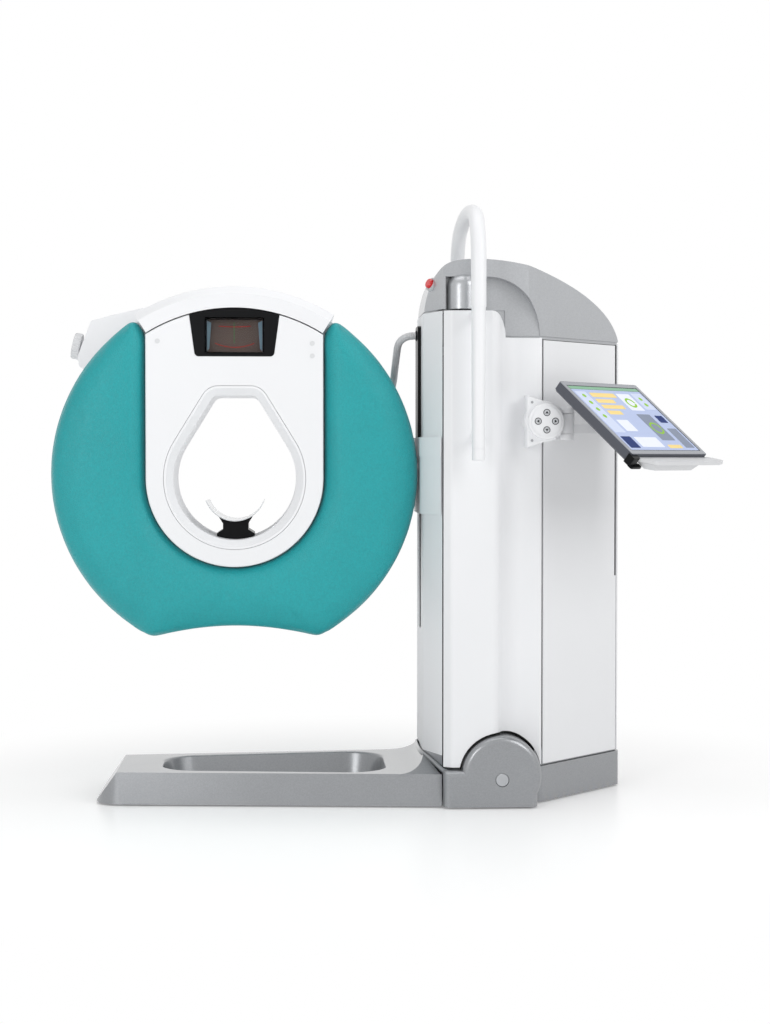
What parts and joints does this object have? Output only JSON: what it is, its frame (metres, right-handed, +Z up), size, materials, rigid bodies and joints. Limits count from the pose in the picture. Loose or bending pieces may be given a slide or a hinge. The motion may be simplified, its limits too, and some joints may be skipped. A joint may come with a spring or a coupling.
{
  "type": "upright limb ct scanner",
  "caption": "Upright cone-beam CT scanner for arms and legs: padded tilting gantry with a pear-shaped bore on a lifting column with handrail, touch screen and a floor base.",
  "frame": {"origin": "on the floor under the middle of the whole machine's outline", "axes": "+X from the gantry to the column, -Y to the user, +Z up"},
  "size_m": [1.7756, 0.777, 1.5969],
  "materials": {
    "white_cover": "satin moulded",
    "teal_pad": "grained leatherette",
    "grey_base": "metallic paint",
    "silver_cap": "silver paint",
    "white_tube": "powder coat",
    "black_plastic": "satin",
    "dark_case": "satin",
    "glass": "polished",
    "clear_tray": "translucent",
    "grey_hose": "corrugated",
    "white_knob": "moulded",
    "red_button": "gloss",
    "grey_button": "moulded",
    "rubber": "moulded",
    "tyre": "moulded",
    "steel": "machined",
    "cast_aluminium": "cast",
    "machine_grey": "enamel"
  },
  "bodies": {
    "stand": {"base_tub": "grey_base", "chassis": "steel", "levelling_feet": "rubber", "skirt": "grey_base", "wheel_cover_near": "grey_base", "wheel_cover_far": "grey_base", "wheel_axles": "steel", "column_cover_near": "white_cover", "column_cover_far": "white_cover", "nose_cover": "white_cover", "flank_panel": "white_cover", "rear_panel": "white_cover", "column_cap": "silver_cap", "mast": "steel", "guide_rails": "steel", "screw_bearings": "steel", "lift_motor": "machine_grey", "generator": "machine_grey", "handrail": "white_tube", "handrail_sleeves": "white_tube", "handrail_standoffs": "white_tube", "control_bracket": "white_cover", "stop_bezel": "grey_button"},
    "carriage": {"carriage_frame": "steel", "guide_blocks": "steel", "tilt_housing": "cast_aluminium", "tilt_motor": "machine_grey", "carriage_cover": "white_cover", "cable_post": "black_plastic", "cable_hose": "grey_hose"},
    "screw": {"lift_screw": "steel"},
    "gantry": {"front_pad": "teal_pad", "rear_pad": "teal_pad", "ring_shell": "white_cover", "front_cover": "white_cover", "rear_cover": "white_cover", "window_bezel": "black_plastic", "window_glass": "glass", "rest_stand": "black_plastic", "rest_tray": "clear_tray", "pod_housing": "white_cover", "gantry_frame": "cast_aluminium", "tilt_shaft": "steel", "rotor_bearing": "steel", "hose_gland": "grey_hose"},
    "rotor": {"rotor_ring": "cast_aluminium", "tube_head": "machine_grey", "detector": "machine_grey"},
    "knob": {"pod_knob": "white_knob"},
    "near_wheel": {"wheel_near": "tyre"},
    "far_wheel": {"wheel_far": "tyre"},
    "arm": {"screen_arm": "white_cover"},
    "screen": {"screen_shell": "dark_case", "screen_glass": "glass", "screen_shelf": "white_cover"},
    "stop": {"stop_button": "red_button"},
    "arrow_up": {"button_up": "grey_button"},
    "arrow_left": {"button_left": "grey_button"},
    "arrow_down": {"button_down": "grey_button"},
    "arrow_right": {"button_right": "grey_button"}
  },
  "joints": [
    {"name": "lift", "type": "slide", "parent": "stand", "child": "carriage", "axis": [0, 0, 1], "range_m": [-0.31, 0.2]},
    {"name": "screw_turn", "type": "hinge", "parent": "stand", "child": "screw", "pos_m": [0.21716, 0.06151, 0.7], "axis": [0, 0, 1], "range_deg": [-5581, 3601]},
    {"name": "gantry_tilt", "type": "hinge", "parent": "carriage", "child": "gantry", "pos_m": [0.07916, 0.06151, 0.874], "axis": [1, 0, 0], "range_deg": [-15, 105], "deforming": ["cable_hose"]},
    {"name": "rotor_turn", "type": "hinge", "parent": "gantry", "child": "rotor", "pos_m": [-0.40084, 0.08151, 0.874], "axis": [0, 1, 0], "range_deg": [-105, 105]},
    {"name": "knob_turn", "type": "hinge", "parent": "gantry", "child": "knob", "pos_m": [-0.82684, 0.20751, 1.223], "axis": [-0.9767, 0, 0.2147], "continuous": true},
    {"name": "screen_swing", "type": "hinge", "parent": "stand", "child": "arm", "pos_m": [0.46783, -0.14219, 1.006], "axis": [0, 0, 1], "range_deg": [-35, 10]},
    {"name": "screen_tilt", "type": "hinge", "parent": "arm", "child": "screen", "pos_m": [0.58035, -0.11946, 1.02486], "axis": [0.7001, 0.714, 0], "range_deg": [-12, 25]},
    {"name": "stop_press", "type": "slide", "parent": "stand", "child": "stop", "axis": [0.799, 0.4494, -0.3995], "range_m": [0, 0.004], "stiffness_N_per_m": 800, "springref_m": -0.002},
    {"name": "near_wheel_turn", "type": "hinge", "parent": "stand", "child": "near_wheel", "pos_m": [0.29716, -0.16349, 0.076], "axis": [0, 1, 0], "continuous": true},
    {"name": "far_wheel_turn", "type": "hinge", "parent": "stand", "child": "far_wheel", "pos_m": [0.29716, 0.28651, 0.076], "axis": [0, 1, 0], "continuous": true},
    {"name": "up_press", "type": "slide", "parent": "stand", "child": "arrow_up", "axis": [0, 1, 0], "range_m": [0, 0.002], "stiffness_N_per_m": 400, "springref_m": -0.001},
    {"name": "left_press", "type": "slide", "parent": "stand", "child": "arrow_left", "axis": [0, 1, 0], "range_m": [0, 0.002], "stiffness_N_per_m": 400, "springref_m": -0.001},
    {"name": "down_press", "type": "slide", "parent": "stand", "child": "arrow_down", "axis": [0, 1, 0], "range_m": [0, 0.002], "stiffness_N_per_m": 400, "springref_m": -0.001},
    {"name": "right_press", "type": "slide", "parent": "stand", "child": "arrow_right", "axis": [0, 1, 0], "range_m": [0, 0.002], "stiffness_N_per_m": 400, "springref_m": -0.001}
  ],
  "couplings": [
    {"joint": "screw_turn", "follows": "lift", "rad_per_m": 314.16}
  ]
}
